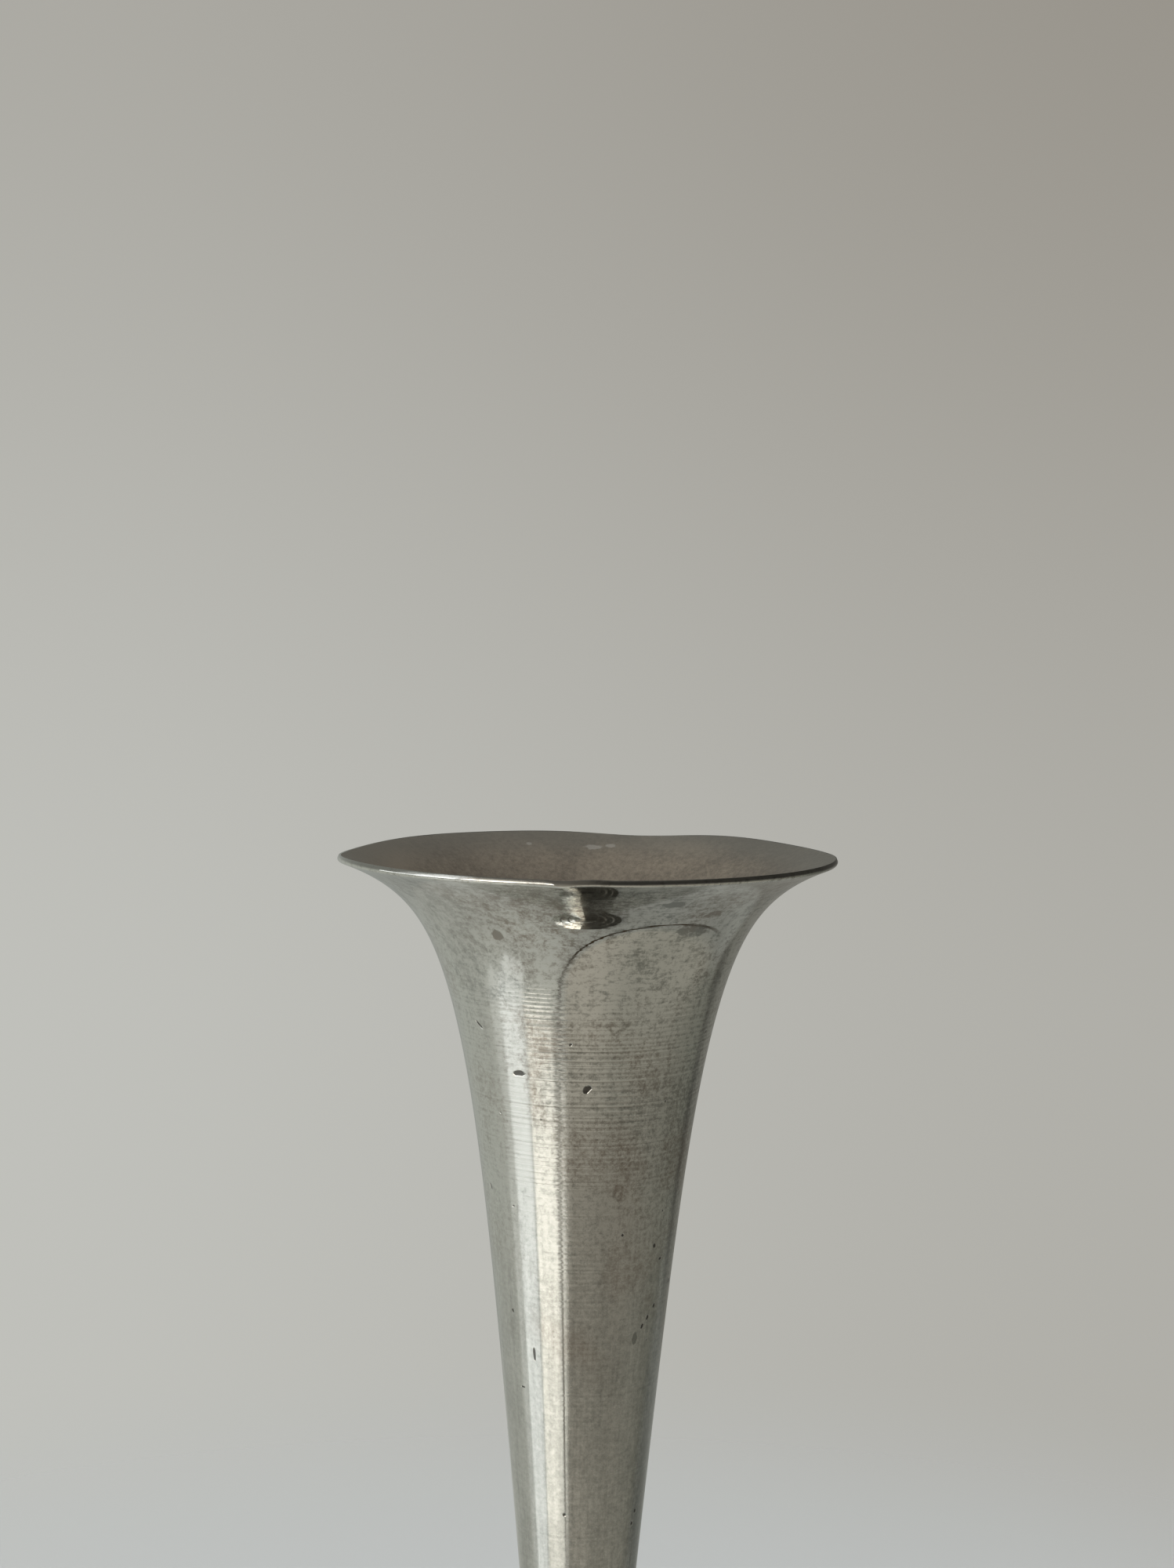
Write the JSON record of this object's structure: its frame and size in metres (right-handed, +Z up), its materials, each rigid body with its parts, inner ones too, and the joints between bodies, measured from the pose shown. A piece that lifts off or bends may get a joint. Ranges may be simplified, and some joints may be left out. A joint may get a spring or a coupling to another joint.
{
  "type": "bud vase",
  "caption": "Slender trumpet-shaped metal bud vase with a wide curled mouth, a tapering stem and a weighted, stepped round foot on felt; it holds a flower stem in water.",
  "frame": {"origin": "centre of the felt pad's underside, on the table that the vase stands on", "axes": "+Z up along the axis of the trumpet, +X to the right of the picture, +Y away from its viewer"},
  "size_m": [0.0648, 0.0648, 0.1775],
  "materials": {
    "pewter": "turned grey metal with fine lathe lines and a dull brownish patina",
    "plug_brass": "turned, dull",
    "zinc_steel": "zinc plated",
    "cast_weight": "as cast, black",
    "tinplate": "tinned sheet",
    "felt": "dark green pressed felt"
  },
  "bodies": {
    "root": {"trumpet_body": "pewter", "stem_plug": "plug_brass", "tie_rod": "zinc_steel", "joint_collar": "pewter", "foot_shell": "pewter", "foot_weight": "cast_weight", "clamp_washer": "zinc_steel", "clamp_nut": "zinc_steel", "base_plate": "tinplate", "felt_pad": "felt"}
  },
  "joints": []
}
